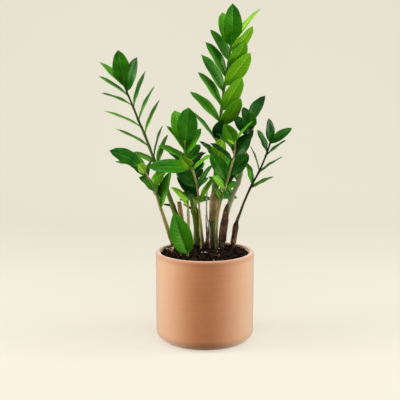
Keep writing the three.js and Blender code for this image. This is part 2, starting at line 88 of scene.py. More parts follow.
# stalk: [x, y, z, radius] from the foot up. leaflets: [height at the stalk, tip to the
# right, back and up from there, width, turn of the face in degrees, tone from 0, dark
# green, to 1, yellow green]. The tone is partly the leaflet's own colour and partly
# painted light and shade, darker or lighter by how much light falls on the leaflet.
# fold is how far a leaflet's edges lift, for its half width.
FRONDS = [
    dict(
        name="frond_left_tall", bark="dark_green", fold=0.12,
        stalk=[
            (-27, 40, 118, 5), (-29, 40, 142, 5.4), (-42, 42, 178, 4.6), (-55, 44, 216, 3.6),
            (-69, 46, 251, 2.8), (-81, 48, 280, 2.3), (-94, 50, 315, 2), (-103, 51, 336, 1.8),
            (-112, 52, 359, 1.6), (-120, 53, 378, 1.4), (-126, 54, 394, 1.2),
        ],
        leaflets=[
            (391, -9, -8, 56, 27, 5, 0.26), (389, -40, 6, 39, 22, 68, 0.45),
            (382, 17, -10, 54, 23, -42, 0.14), (376, -46, -6, 31, 21, 82, 0.5),
            (361, -49, 8, 19, 20, 86, 0.6), (358, 19, 8, 56, 24, -74, 0.3),
            (338, 26, -4, 53, 24, -76, 0.35), (328, -57, -6, 25, 20, 86, 0.6),
            (316, 24, 8, 54, 24, -76, 0.5), (297, -53, 6, 27, 20, 85, 0.55),
            (279, 15, -6, 52, 22, -84, 0.1), (263, 16, 10, 52, 22, -68, 0.45),
            (271, -36, 6, 17, 22, 76, 0.5), (230, -11, -8, 14, 12, 49, 0.9),
            (203, -15, 0, 3, 4, 39, 0.0),
        ],
    ),
    dict(
        name="frond_left_low", bark="pale_tan", fold=0.25,
        stalk=[
            (-47, 28, 118, 4), (-48, 28, 140, 4.2), (-54, 24, 158, 3.5), (-62, 18, 184, 2.9),
            (-69, 12, 207, 2.3), (-75, 6, 228, 1.8), (-84, 1, 248, 1.6), (-91, -3, 263, 1.5),
            (-97, -6, 275, 1.4),
        ],
        leaflets=[
            (273, -49, -6, 26, 24, 45, 0.12), (271, -43, 14, 7, 22, 80, 0.2),
            (262, -25, 26, 31, 21, 75, 0.5), (263, -10, -18, 15, 16, 32, 1.1),
            (257, -29, -14, 23, 22, 60, 0.08), (254, 6, 16, 28, 20, -70, 0.06),
            (233, -23, -16, 24, 22, 65, 0.25), (236, 18, 10, 32, 22, -50, 0.55),
            (222, 2, 14, 30, 18, -60, 0.1), (204, 17, -10, 60, 22, -50, 0.4),
        ],
    ),
    dict(
        name="frond_centre_upright", bark="olive", fold=0.25,
        stalk=[
            (-5, 37, 118, 4.4), (-7, 37, 143, 4.8), (-11, 36, 168, 5.8), (-15, 33, 193, 5.6),
            (-20, 28, 216, 3.8), (-26, 19, 247, 2.1), (-30, 10, 281, 1.8), (-31, 4, 311, 1.6),
        ],
        leaflets=[
            (308, 6, 10, 53, 31, 5, 0.2), (305, -16, 26, 50, 28, 20, 0.42),
            (294, -28, 4, 39, 22, 76, 0.4), (289, 25, 6, 40, 24, -50, 0.3),
            (281, -42, -6, 22, 22, 75, 0.4), (272, -30, 6, 25, 24, 60, 0.3),
            (275, 22, 12, 28, 24, -50, 0.2), (257, 24, 26, 33, 24, -60, 0.08),
            (255, -26, 12, 22, 24, 50, 0.08), (250, 25, 4, 28, 24, -50, 0.08),
            (236, 22, 10, 28, 22, -60, 0.08), (264, 30, 10, 27, 20, -77, 0.05),
            (197, -19, 2, 11, 4, 39, 0.0),
        ],
    ),
    dict(
        name="frond_front_short", bark="pale_tan", fold=0.22,
        stalk=[
            (-1, 27, 118, 2.2), (-2, 26, 140, 2.2), (-4, 22, 159, 1.9), (-7, 14, 186, 1.7),
            (-9, 6, 211, 1.6), (-11, -4, 236, 1.5), (-14, -13, 253, 1.5), (-19, -23, 270, 1.5),
            (-23, -27, 276, 1.4),
        ],
        leaflets=[
            (275, -65, -12, 3, 25, 45, 0.2), (273, -16, -30, 22, 18, 0, 0.62),
            (269, 28, -6, 24, 20, -80, 0.5), (243, -32, 2, 25, 24, 35, 0.08),
            (224, -33, 6, 31, 24, 40, 0.06), (236, 23, -4, 40, 16, -62, 0.15),
            (215, 29, -8, 46, 12, -55, 0.75), (217, -26, 8, 14, 19, 78, 0.6),
        ],
    ),
    dict(
        name="frond_centre_tall", bark="tan", fold=0.18, taper=(0.75, 0.56),
        stalk=[
            (15, 36, 118, 5.4), (14, 36, 140, 5.7), (14, 40, 173, 6), (15, 44, 208, 6.2),
            (18, 48, 257, 4), (21, 50, 305, 2.8), (25, 50, 346, 2.2), (30, 46, 388, 1.8),
            (36, 42, 424, 1.5), (40, 38, 456, 1.3),
        ],
        leaflets=[
            (453, 2, -12, 64, 28, 10, 0.22), (452, -13, 18, 52, 26, 25, 0.42),
            (449, 47, 10, 61, 22, -68, 0.9), (444, 34, -12, 40, 23, 46, 0.7),
            (430, -29, 8, 48, 24, 50, 0.3), (418, 28, -8, 43, 25, 28, 0.5),
            (404, -32, -6, 55, 24, 55, 0.3), (391, 40, -6, 52, 26, 26, 0.65),
            (381, -35, 8, 59, 25, 55, 0.3), (359, -37, -4, 54, 25, 65, 0.35),
            (352, 32, -8, 54, 26, 26, 0.6), (335, -47, 6, 47, 25, 60, 0.4),
            (330, 33, -9, 43, 24, 26, 0.55), (301, -43, -10, 52, 24, 82, 0.4),
            (306, 9, -10, 34, 24, -12, 0.04), (263, 10, -12, 49, 25, -26, 0.82),
            (271, -22, -6, 33, 22, 69, 0.25), (279, -28, 2, 26, 20, 79, 0.1),
            (235, 9, -16, -24, 14, -56, 0.3),
        ],
    ),
    dict(
        name="frond_centre_slender", bark="pale_tan", fold=0.22,
        stalk=[
            (20, 20, 118, 3), (19, 20, 140, 3), (18, 17, 165, 2.6), (20, 13, 193, 2.1),
            (26, 8, 222, 1.7), (34, 2, 249, 1.6), (40, -3, 272, 1.5), (45, -8, 294, 1.5),
            (45, -12, 314, 1.4),
        ],
        leaflets=[
            (311, -16, -26, 30, 21, 0, 0.45), (311, 27, 2, 31, 16, -87, 0.4),
            (308, -18, -12, 14, 12, 51, 1.0), (297, -28, 8, 26, 22, 74, 0.08),
            (286, 26, -6, 38, 24, -28, 0.1), (281, -35, 4, 27, 22, 74, 0.1),
            (258, 31, 6, 31, 25, -28, 0.1), (249, -26, 12, 42, 25, 31, 0.2),
            (238, -20, -18, 20, 16, 52, 0.55), (236, 9, -4, -18, 8, -62, 0.2),
            (240, 18, 14, 30, 20, -50, 0.08), (220, -12, -6, 18, 16, 75, 0.6),
        ],
    ),
    dict(
        name="frond_right_dark", bark="grey_green", fold=0.25,
        stalk=[
            (28, 36, 118, 5), (27, 36, 140, 5.2), (29, 38, 166, 4.8), (35, 40, 193, 4.2),
            (44, 42, 221, 3.8), (53, 42, 242, 3.5), (59, 42, 267, 2.8), (65, 40, 305, 2),
            (71, 36, 340, 1.5),
        ],
        leaflets=[
            (337, 23, 4, 40, 23, -45, 0.1), (327, 0, -18, 27, 21, -5, 0.2),
            (322, -8, 10, 37, 22, 40, 0.08), (313, -20, 18, 32, 22, 40, 0.08),
            (318, 12, 8, 26, 20, -50, 0.08),
            (291, 14, 12, 32, 22, -65, 0.08), (276, -24, 12, 31, 23, 45, 0.1),
            (254, 10, 20, 32, 22, -55, 0.1), (240, -12, 16, 28, 20, 55, 0.35),
            (214, -14, 8, 26, 18, 60, 0.3),
        ],
    ),
    dict(
        name="frond_right_slender", bark="near_black", fold=0.12,
        stalk=[
            (44, 32, 118, 3.2), (44, 32, 140, 3.3), (50, 32, 178, 2.7), (56, 31, 196, 2),
            (62, 30, 213, 1.8), (73, 27, 239, 1.7), (85, 23, 263, 1.5), (95, 19, 289, 1.4),
            (101, 16, 309, 1.3),
        ],
        leaflets=[
            (306, -3, -6, 39, 17, 35, 0.06), (305, 34, 4, 24, 17, -45, 0.16),
            (291, -15, 8, 35, 17, 60, 0.15), (286, 30, -8, 25, 16, -84, 0.3),
            (262, -15, -10, 40, 17, 82, 0.2), (259, 38, 8, 24, 17, -85, 0.35),
            (241, -11, -12, 35, 18, 60, 0.3), (234, 36, -6, 19, 18, -80, 0.55),
        ],
    ),
    dict(
        name="frond_young", bark="pale_green", fold=0.25,
        stalk=[
            (-21, 21, 118, 2.6), (-22, 19, 142, 2.6), (-25, 12, 167, 2.3), (-26, 4, 190, 2),
            (-26, -4, 210, 1.7), (-26, -8, 221, 1.4),
        ],
        leaflets=[
            (217, -26, -6, 25, 15, 60, 0.85), (213, -10, -8, 15, 10, 41, 0.95),
        ],
    ),
    dict(
        name="frond_back_left", bark="olive", fold=0.25,
        stalk=[
            (-14, 58, 118, 4.2), (-14, 59, 142, 4.2), (-14, 65, 166, 3.6), (-15, 77, 192, 2.8),
            (-17, 94, 220, 2), (-18, 112, 244, 1.5),
        ],
        leaflets=[
            (242, -1, 44, 26, 24, 20, 0.3), (239, -26, 34, 16, 22, 60, 0.35),
            (235, 17, 38, 24, 22, -60, 0.3), (226, -28, 24, 10, 23, 65, 0.25),
            (219, 22, 28, 18, 23, -65, 0.3), (207, -22, 30, -4, 22, 70, 0.2),
            (200, 24, 28, 6, 22, -70, 0.25),
        ],
    ),
    dict(
        name="frond_back_right", bark="olive", fold=0.25,
        stalk=[
            (14, 58, 118, 4.2), (15, 59, 142, 4.2), (16, 66, 168, 3.6), (20, 80, 196, 2.8),
            (27, 98, 224, 2), (33, 116, 246, 1.5),
        ],
        leaflets=[
            (244, 8, 44, 24, 24, -20, 0.3), (241, -18, 38, 20, 22, 60, 0.35),
            (236, 32, 28, 16, 22, -60, 0.3), (225, -18, 34, 12, 23, 65, 0.25),
            (219, 32, 24, 10, 23, -65, 0.3), (208, 30, 28, -2, 22, -70, 0.2),
        ],
    ),
    dict(
        name="leaf_at_soil", bark="pale_green", fold=0.42, taper=(0.5, 0.95),
        stalk=[(-26, -34, 118, 1.6), (-26, -34, 131, 1.8), (-26, -32, 144, 1.8)],
        leaflets=[(141, -21, -4, 68, 31, 12, 0.32)],
    ),
]

BARE_STALKS = [
    dict(
        name="cut_stalk", bark="red_tan",
        stalk=[(-33, 27, 118, 3.9), (-33, 27, 142, 3.9), (-36, 27, 180, 3.8), (-40, 26, 212, 3.5)],
    ),
    dict(
        name="dry_stalk", bark="lichen_and_painted_light",
        stalk=[
            (8, 23, 118, 1.5), (9, 22, 145, 1.5), (8, 18, 168, 1.4), (3, 14, 196, 1.3),
            (3, 10, 236, 1.1),
        ],
    ),
]

SHEATHS = [
    dict(name="sheath_centre_upright", frond="frond_centre_upright", skin="pale_sheath",
         foot=140, top=212, faces=-10, reach=150, flare=3.5),
    dict(name="sheath_centre_tall", frond="frond_centre_tall", skin="tan_sheath",
         foot=180, top=230, faces=-105, reach=220),
    dict(name="sheath_right_dark", frond="frond_right_dark", skin="brown_sheath",
         foot=148, top=208, faces=-130, reach=250),
    dict(name="sheath_right_slender", frond="frond_right_slender", skin="brown_sheath",
         foot=146, top=184, faces=-100, reach=270),
]

# Each bark is its colour at the foot, the middle and the top of the stalk (linear RGB).
BARKS = {
    "dark_green": ((0.12, 0.20, 0.025), (0.13, 0.22, 0.02), (0.014, 0.022, 0.003)),
    "pale_tan": ((0.24, 0.22, 0.05), (0.54, 0.47, 0.16), (0.68, 0.60, 0.24)),
    "olive": ((0.10, 0.14, 0.015), (0.20, 0.31, 0.025), (0.20, 0.34, 0.04)),
    "tan": ((0.10, 0.10, 0.025), (0.16, 0.24, 0.03), (0.08, 0.20, 0.012)),
    "grey_green": ((0.13, 0.15, 0.03), (0.55, 0.57, 0.28), (0.08, 0.14, 0.015)),
    "near_black": ((0.15, 0.15, 0.04), (0.06, 0.085, 0.015), (0.014, 0.020, 0.004)),
    "pale_green": ((0.50, 0.30, 0.19), (0.66, 0.50, 0.32), (0.36, 0.50, 0.09)),
    "red_tan": ((0.26, 0.12, 0.05), (0.44, 0.23, 0.10), (0.52, 0.32, 0.11)),
    # The dry stalk's pale lichen colour is made paler still as painted light, where it stands in the
    # other stalks' shadow.
    "lichen_and_painted_light": ((0.45, 0.38, 0.22), (0.78, 0.74, 0.56), (0.85, 0.83, 0.70)),
}


# -------- material helpers

class Nodes:
    """Makes a material with one Principled shader and a few shorthand calls."""

    def __init__(self, name):
        self.material = bpy.data.materials.new(name)
        self.material.use_nodes = True
        self.tree = self.material.node_tree
        self.shader = self.tree.nodes["Principled BSDF"]

    def add(self, kind, **settings):
        node = self.tree.nodes.new(kind)
        for key, value in settings.items():
            setattr(node, key, value)
        return node

    def link(self, output, socket):
        self.tree.links.new(output, socket)

    def feed(self, socket, value):
        if isinstance(value, bpy.types.NodeSocket):
            self.link(value, socket)
        else:
            socket.default_value = value

    def attribute(self, name):
        return self.add("ShaderNodeAttribute", attribute_name=name).outputs["Fac"]

    def position(self):
        return self.add("ShaderNodeTexCoord").outputs["Object"]

    def height(self):
        split = self.add("ShaderNodeSeparateXYZ")
        self.link(self.position(), split.inputs["Vector"])
        return split.outputs["Z"]

    def stretched(self, x, y, z):
        node = self.add("ShaderNodeMapping")
        self.link(self.position(), node.inputs["Vector"])
        node.inputs["Scale"].default_value = (x, y, z)
        return node.outputs["Vector"]

    def noise(self, scale, detail=4.0, roughness=0.5, vector=None):
        node = self.add("ShaderNodeTexNoise")
        self.link(vector or self.position(), node.inputs["Vector"])
        node.inputs["Scale"].default_value = scale
        node.inputs["Detail"].default_value = detail
        node.inputs["Roughness"].default_value = roughness
        return node.outputs["Fac"]

    def voronoi(self, scale):
        node = self.add("ShaderNodeTexVoronoi")
        self.link(self.position(), node.inputs["Vector"])
        node.inputs["Scale"].default_value = scale
        return node.outputs["Distance"]

    def math(self, operation, a, b=0.0):
        node = self.add("ShaderNodeMath", operation=operation)
        for socket, value in zip(node.inputs, (a, b)):
            self.feed(socket, value)
        return node.outputs["Value"]

    def span(self, value, low, high, out_low=0.0, out_high=1.0, smooth=False):
        node = self.add("ShaderNodeMapRange")
        if smooth:
            node.interpolation_type = "SMOOTHSTEP"
        self.feed(node.inputs["Value"], value)
        node.inputs["From Min"].default_value = low
        node.inputs["From Max"].default_value = high
        node.inputs["To Min"].default_value = out_low
        node.inputs["To Max"].default_value = out_high
        return node.outputs["Result"]

    def ramp(self, value, *stops):
        node = self.add("ShaderNodeValToRGB")
        self.link(value, node.inputs["Fac"])
        elements = node.color_ramp.elements
        while len(elements) < len(stops):
            elements.new(0.5)
        for element, (place, colour) in zip(elements, stops):
            element.position = place
            element.color = (*colour, 1.0)
        return node.outputs["Color"]

    def mix(self, factor, a, b, blend="MIX"):
        node = self.add("ShaderNodeMix", data_type="RGBA", blend_type=blend)
        self.feed(node.inputs["Factor"], factor)
        # A Mix node has an A and a B for each data type, and the colour ones are 6 and 7.
        for index, value in ((6, a), (7, b)):
            self.feed(node.inputs[index], (*value, 1.0) if isinstance(value, tuple) else value)
        return node.outputs[2]

    def bump(self, height, strength, distance, below=None):
        node = self.add("ShaderNodeBump")
        self.link(height, node.inputs["Height"])
        node.inputs["Strength"].default_value = strength
        node.inputs["Distance"].default_value = distance
        if below is not None:
            self.link(below, node.inputs["Normal"])
        return node.outputs["Normal"]

    def finish(self, colour, roughness, normal=None, **sockets):
        self.feed(self.shader.inputs["Base Color"], colour)
        self.feed(self.shader.inputs["Roughness"], roughness)
        if normal is not None:
            self.link(normal, self.shader.inputs["Normal"])
        for name, value in sockets.items():
            self.shader.inputs[name.replace("_", " ")].default_value = value
        return self.material


# -------- materials

def leaf_material():
    """Waxy leaflet: tone, partly painted light and shade, paler midrib and arching side veins, dark
    speckle, satin gloss.
    """
    m = Nodes("leaf")
    across = m.math("ABSOLUTE", m.attribute("across"))
    along = m.attribute("along")
    under = m.attribute("under")
    # Each leaflet's tone is partly its own colour and partly painted light and shade, darker or lighter
    # by how much light falls on it.
    tone_and_painted_light = m.attribute("tone_and_painted_light")
    mottle = m.noise(60, 5, 0.6)
    tone_and_painted_light = m.math("ADD", tone_and_painted_light, m.span(mottle, 0.3, 0.7, -0.09, 0.09))
    tone_and_painted_light = m.math("ADD", tone_and_painted_light, m.span(along, 0.0, 1.0, 0.05, -0.05))
    colour = m.ramp(
        tone_and_painted_light,
        (0.0, (0.003, 0.032, 0.002)),
        (0.12, (0.010, 0.090, 0.002)),
        (0.27, (0.034, 0.205, 0.003)),
        (0.5, (0.090, 0.330, 0.004)),
        (0.8, (0.195, 0.480, 0.006)),
        (1.0, (0.310, 0.590, 0.030)),
    )
    # Side veins leave the midrib at a slant and curve forward towards the edge.
    forward = m.math("MULTIPLY", m.math("POWER", across, 1.3), 0.17)
    wave = m.math("SINE", m.math("MULTIPLY", m.math("SUBTRACT", along, forward), 75.0))
    veins = m.span(wave, 0.55, 1.0, smooth=True)
    veins = m.math("MULTIPLY", veins, m.span(across, 1.0, 0.7))
    rib = m.span(across, 0.035, 0.1, 1.0, 0.0, smooth=True)
    edge = m.span(across, 0.93, 1.0, smooth=True)
    for share, factor in ((veins, 0.35), (rib, 1.0), (edge, 0.6), (under, 0.7)):
        colour = m.mix(m.math("MULTIPLY", share, factor), colour, (2.0, 1.6, 4.0), "MULTIPLY")
    neck = m.span(along, 0.04, 0.0, smooth=True)
    colour = m.mix(m.math("MULTIPLY", neck, 0.7), colour, (0.09, 0.12, 0.03))
    height = m.math("ADD", m.math("MULTIPLY", veins, -0.5), m.math("MULTIPLY", m.noise(220, 3), 0.35))
    normal = m.bump(height, 0.5, 0.0006)
    rough = m.span(m.noise(90, 4), 0.3, 0.7, 0.22, 0.36)
    rough = m.math("ADD", rough, m.math("MULTIPLY", under, 0.2))
    return m.finish(colour, rough, normal,
                    Specular_IOR_Level=0.22, Specular_Tint=(0.55, 0.85, 0.4, 1.0))


def bark_material(name, low, middle, high):
    """Stalk: colour from foot to top, lengthwise streaks, dark spots, and painted shade that darkens the
    foot unevenly.
    """
    m = Nodes("bark_" + name)
    along = m.attribute("along")
    colour = m.ramp(along, (0.0, low), (0.38, middle), (1.0, high))
    streaks = m.noise(1.0, 6, 0.6, m.stretched(900, 900, 60))
    colour = m.mix(m.span(streaks, 0.35, 0.65, 0.0, 0.5), colour, (0.04, 0.05, 0.012))
    spots = m.span(m.voronoi(260), 0.12, 0.3, 1.0, 0.0, smooth=True)
    spots = m.math("MULTIPLY", spots, m.span(m.noise(70, 3), 0.45, 0.6))
    colour = m.mix(m.math("MULTIPLY", spots, 0.55), colour, (0.03, 0.03, 0.012))
    # Painted shade: the foot of each stalk, low among the others by the mix, is darkened unevenly.
    foot = m.span(m.height(), 0.185, 0.142, smooth=True)
    foot = m.math("MULTIPLY", foot, m.span(m.noise(90, 4, 0.6), 0.35, 0.6, 0.55, 0.95))
    colour = m.mix(foot, colour, (0.030, 0.024, 0.008))
    normal = m.bump(streaks, 0.3, 0.0005)
    return m.finish(colour, m.span(streaks, 0.3, 0.7, 0.35, 0.55), normal, Specular_IOR_Level=0.25)


def sheath_material(name, dark, light):
    """Papery scale leaf: long fibres, blotches and a dull broken sheen."""
    m = Nodes(name)
    fibres = m.noise(1.0, 7, 0.65, m.stretched(1300, 1300, 45))
    blotches = m.noise(85, 4, 0.6)
    both = m.math("ADD", m.math("MULTIPLY", fibres, 0.5), m.math("MULTIPLY", blotches, 0.5))
    middle = tuple(0.7 * a + 0.3 * b for a, b in zip(dark, light))
    colour = m.ramp(both, (0.40, dark), (0.50, middle), (0.58, light))
    rim = m.span(m.attribute("along"), 0.7, 1.0, smooth=True)
    colour = m.mix(m.math("MULTIPLY", rim, 0.35), colour, dark)
    return m.finish(colour, m.span(blotches, 0.3, 0.7, 0.55, 0.8), m.bump(fibres, 0.7, 0.0008),
                    Specular_IOR_Level=0.15)


def clay_material():
    """Unglazed terracotta: fine grain, faint throwing lines, pin holes.

    The pot's left and right are painted paler, as painted light where the side lamps fall; its front and
    back stay deep orange.
    """
    m = Nodes("terracotta")
    cloud = m.noise(14, 4, 0.55)
    grain = m.noise(700, 5, 0.7)
    bands = m.noise(1.0, 5, 0.6, m.stretched(3, 3, 260))
    colour = m.ramp(
        cloud,
        (0.35, (0.64, 0.205, 0.056)),
        (0.52, (0.68, 0.232, 0.068)),
        (0.68, (0.71, 0.265, 0.088)),
    )
    # Painted light: the pot's left and right flanks are painted paler, where the side lamps fall on
    # them.
    split = m.add("ShaderNodeSeparateXYZ")
    m.link(m.position(), split.inputs["Vector"])
    painted_side_light = m.span(m.math("ABSOLUTE", split.outputs["X"]), 0.008, 0.070, smooth=True)
    colour = m.mix(m.math("MULTIPLY", painted_side_light, 0.9), colour, (0.73, 0.450, 0.250))
    colour = m.mix(m.span(bands, 0.4, 0.62, 0.0, 0.18), colour, (0.77, 0.36, 0.17))
    colour = m.mix(m.span(grain, 0.35, 0.65, 0.25, 0.0), colour, (0.50, 0.19, 0.07))
    pits = m.span(m.voronoi(330), 0.05, 0.1, 1.0, 0.0, smooth=True)
    pits = m.math("MULTIPLY", pits, m.span(m.noise(160, 2), 0.56, 0.62))
    colour = m.mix(m.math("MULTIPLY", pits, 0.7), colour, (0.12, 0.055, 0.03))
    # Painted shade: the top of the rim is darkened all round.
    rim = m.span(m.height(), 0.128, 0.139, smooth=True)
    colour = m.mix(m.math("MULTIPLY", rim, 0.45), colour, (0.42, 0.145, 0.045))
    warm = m.span(m.height(), 0.03, 0.0, smooth=True)
    colour = m.mix(m.math("MULTIPLY", warm, 0.35), colour, (0.68, 0.25, 0.07))
    normal = m.bump(bands, 0.15, 0.0004)
    normal = m.bump(m.math("SUBTRACT", grain, pits), 0.35, 0.0005, normal)
    return m.finish(colour, m.span(grain, 0.3, 0.7, 0.78, 0.92), normal,
                    Specular_IOR_Level=0.4, Sheen_Weight=0.9, Sheen_Roughness=0.5,
                    Sheen_Tint=(1.0, 0.95, 0.88, 1.0))


def soil_material():
    """Damp peat: near-black with brown crumbs."""
    m = Nodes("potting_mix")
    crumbs = m.noise(420, 6, 0.65)
    clods = m.voronoi(240)
    colour = m.ramp(
        crumbs,
        (0.38, (0.002, 0.0015, 0.001)),
        (0.60, (0.007, 0.004, 0.002)),
        (0.76, (0.035, 0.018, 0.009)),
    )
    normal = m.bump(m.math("ADD", crumbs, clods), 0.9, 0.0018)
    return m.finish(colour, m.span(crumbs, 0.3, 0.7, 0.8, 0.98), normal, Specular_IOR_Level=0.0)


def chip_material(name, dark, light, grain_scale):
    """Bark, peat, perlite or root: two tones in lumps, with a stretched grain over them."""
    m = Nodes(name)
    grain = m.noise(1.0, 6, 0.6, m.stretched(grain_scale, grain_scale, grain_scale * 0.3))
    lumps = m.noise(130, 4)
    colour = m.mix(m.span(lumps, 0.35, 0.65), dark, light)
    colour = m.mix(m.span(grain, 0.45, 0.7, 0.0, 0.5), colour, dark)
    return m.finish(colour, m.span(grain, 0.3, 0.7, 0.6, 0.9), m.bump(grain, 0.6, 0.0008),
                    Specular_IOR_Level=0.05)


def tuber_material():
    """Buried tuber: tan skin with darker growth rings."""
    m = Nodes("tuber")
    rings = m.noise(1.0, 4, 0.5, m.stretched(60, 60, 420))
    skin = m.noise(150, 5, 0.6)
    colour = m.ramp(skin, (0.35, (0.26, 0.15, 0.07)), (0.65, (0.50, 0.35, 0.19)))
    colour = m.mix(m.span(rings, 0.5, 0.65, 0.0, 0.5), colour, (0.16, 0.09, 0.045))
    return m.finish(colour, m.span(skin, 0.3, 0.7, 0.55, 0.8), m.bump(rings, 0.6, 0.001))


# -------- mesh helpers

class Skin:
    """Gathers points, faces and per-point values, and makes one object from them."""

    VALUES = ("across", "along", "under", "tone_and_painted_light")

    def __init__(self):
        self.points = []
        self.faces = []
        self.slots = []
        self.values = {key: [] for key in self.VALUES}

    def point(self, place, **values):
        self.points.append(place)
        for key in self.VALUES:
            self.values[key].append(values.get(key, 0.0))
        return len(self.points) - 1

    def face(self, corners, slot=0):
        self.faces.append(corners)
        self.slots.append(slot)

    def rings(self, rings, slot=0, closed=True):
        """Faces between rings of point numbers with equal counts."""
        for low, high in zip(rings, rings[1:]):
            count = len(low)
            for i in range(count if closed else count - 1):
                j = (i + 1) % count
                self.face((low[i], low[j], high[j], high[i]), slot)

    def cap(self, ring, tip, slot=0, top=True):
        count = len(ring)
        for i in range(count):
            j = (i + 1) % count
            self.face((ring[i], ring[j], tip) if top else (ring[j], ring[i], tip), slot)

    def make(self, name, materials):
        mesh = bpy.data.meshes.new(name)
        mesh.from_pydata([tuple(p * MM) for p in self.points], [], self.faces)
        for material in materials:
            mesh.materials.append(material)
        mesh.polygons.foreach_set("material_index", self.slots)
        mesh.polygons.foreach_set("use_smooth", [True] * len(self.faces))
        for key in self.VALUES:
            if any(self.values[key]):
                layer = mesh.attributes.new(key, "FLOAT", "POINT")
                layer.data.foreach_set("value", self.values[key])
        piece = bpy.data.objects.new(name, mesh)
        bpy.context.scene.collection.objects.link(piece)
        return piece


def place_piece(piece, slot, *nodes):
    """Tells the frame which body and CAD nodes a piece has; slot is not used."""
    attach(piece, "root")
    if nodes:
        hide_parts(*nodes)


def ease(value):
    """A smooth step from 0 to 1."""
    value = min(max(value, 0.0), 1.0)
    return value * value * (3 - 2 * value)


def around(count):
    """The angles of a full turn, evenly spaced."""
    return [2 * math.pi * k / count for k in range(count)]


def arc(centre_x, centre_y, radius, start, end, steps):
    """Points of an arc, from start to end degrees."""
    points = []
    for i in range(steps + 1):
        angle = math.radians(start + (end - start) * i / steps)
        points.append((centre_x + radius * math.cos(angle), centre_y + radius * math.sin(angle)))
    return points


# -------- stalks

class Curve:
    """The CAD stalk's line: a uniform Catmull-Rom spline through [x, y, z, radius]."""

    def __init__(self, stalk):
        self.points = [Vector(p[:3]) for p in stalk]
        self.radii = [p[3] for p in stalk]

    def _segment(self, t):
        last = len(self.points) - 1
        place = min(max(t, 0.0), 1.0) * last
        index = min(int(place), last - 1)
        return index, place - index

    def point(self, t):
        index, f = self._segment(t)
        p = self.points
        p1, p2 = p[index], p[index + 1]
        p0 = p[index - 1] if index > 0 else 2 * p1 - p2
        p3 = p[index + 2] if index + 2 < len(p) else 2 * p2 - p1
        return 0.5 * (
            2 * p1 + (p2 - p0) * f + (2 * p0 - 5 * p1 + 4 * p2 - p3) * f * f
            + (3 * p1 - p0 - 3 * p2 + p3) * f ** 3
        )

    def radius(self, t):
        index, f = self._segment(t)
        return self.radii[index] + (self.radii[index + 1] - self.radii[index]) * ease(f)

    def sides(self, t):
        along = (self.point(t + 0.004) - self.point(t - 0.004)).normalized()
        right = Vector((0, 1, 0)).cross(along).normalized()
        return right, along.cross(right)

    def place_at_height(self, height):
        low, high = 0.0, 1.0
        for _ in range(SEARCH_HALVINGS):
            middle = (low + high) / 2
            if self.point(middle).z < height:
                low = middle
            else:
                high = middle
        return (low + high) / 2

    def length(self):
        steps = 40
        points = [self.point(i / steps) for i in range(steps + 1)]
        return sum((b - a).length for a, b in zip(points, points[1:]))


STALK_SIDES = 18
STALK_STEP = 2.5


def add_stalk(skin, curve, knots, seed, slot, ragged=False):
    """A round stalk with a swelling under each leaflet and slightly uneven sides."""
    steps = round(curve.length() / STALK_STEP)
    rings = []
    for i in range(steps + 1):
        t = i / steps
        right, back = curve.sides(t)
        centre = curve.point(t)
        swell = max((math.exp(-(((centre.z - knot) / KNOT_HEIGHT) ** 2)) for knot in knots), default=0.0)
        radius = curve.radius(t) * (1 + KNOT_SWELL * swell)
        ring = []
        for angle in around(STALK_SIDES):
            spot = Vector((math.cos(angle) * 1.3 + seed, math.sin(angle) * 1.3, centre.z * 0.045))
            r = radius * (1 + 0.07 * noise.noise(spot))
            place = centre + right * (r * math.cos(angle)) + back * (r * math.sin(angle))
            if ragged and i == steps:
                place.z += 3.0 * noise.noise(Vector((angle * 2.0, seed, 0.5)))
            ring.append(skin.point(place, along=t))
        rings.append(ring)
    skin.rings(rings, slot)
    end = curve.point(1.0)
    dome = end + (end - curve.point(0.99)).normalized() * curve.radii[-1] * 0.5
    if ragged:
        dome = end - Vector((0, 0, 2.0))
    skin.cap(rings[0], skin.point(curve.point(0.0), along=0.0), slot, top=False)
    skin.cap(rings[-1], skin.point(dome, along=1.0), slot)


# -------- leaflets

LEAFLET_ACROSS = (0.0, 0.05, 0.12, 0.24, 0.4, 0.57, 0.73, 0.87, 0.96, 1.0)
LEAFLET_ALONG = 30


def leaflet_outline(t, taper):
    """Half width along a leaflet. taper is how hollow its outline runs at the foot and tip."""
    if t <= 0.0 or t >= 1.0:
        return 0.0
    foot, tip = taper
    blade = math.sin(math.pi * t ** LEAFLET_LEAN) ** (foot + (tip - foot) * t)
    return min(blade, LEAFLET_POINT * (1 - t))


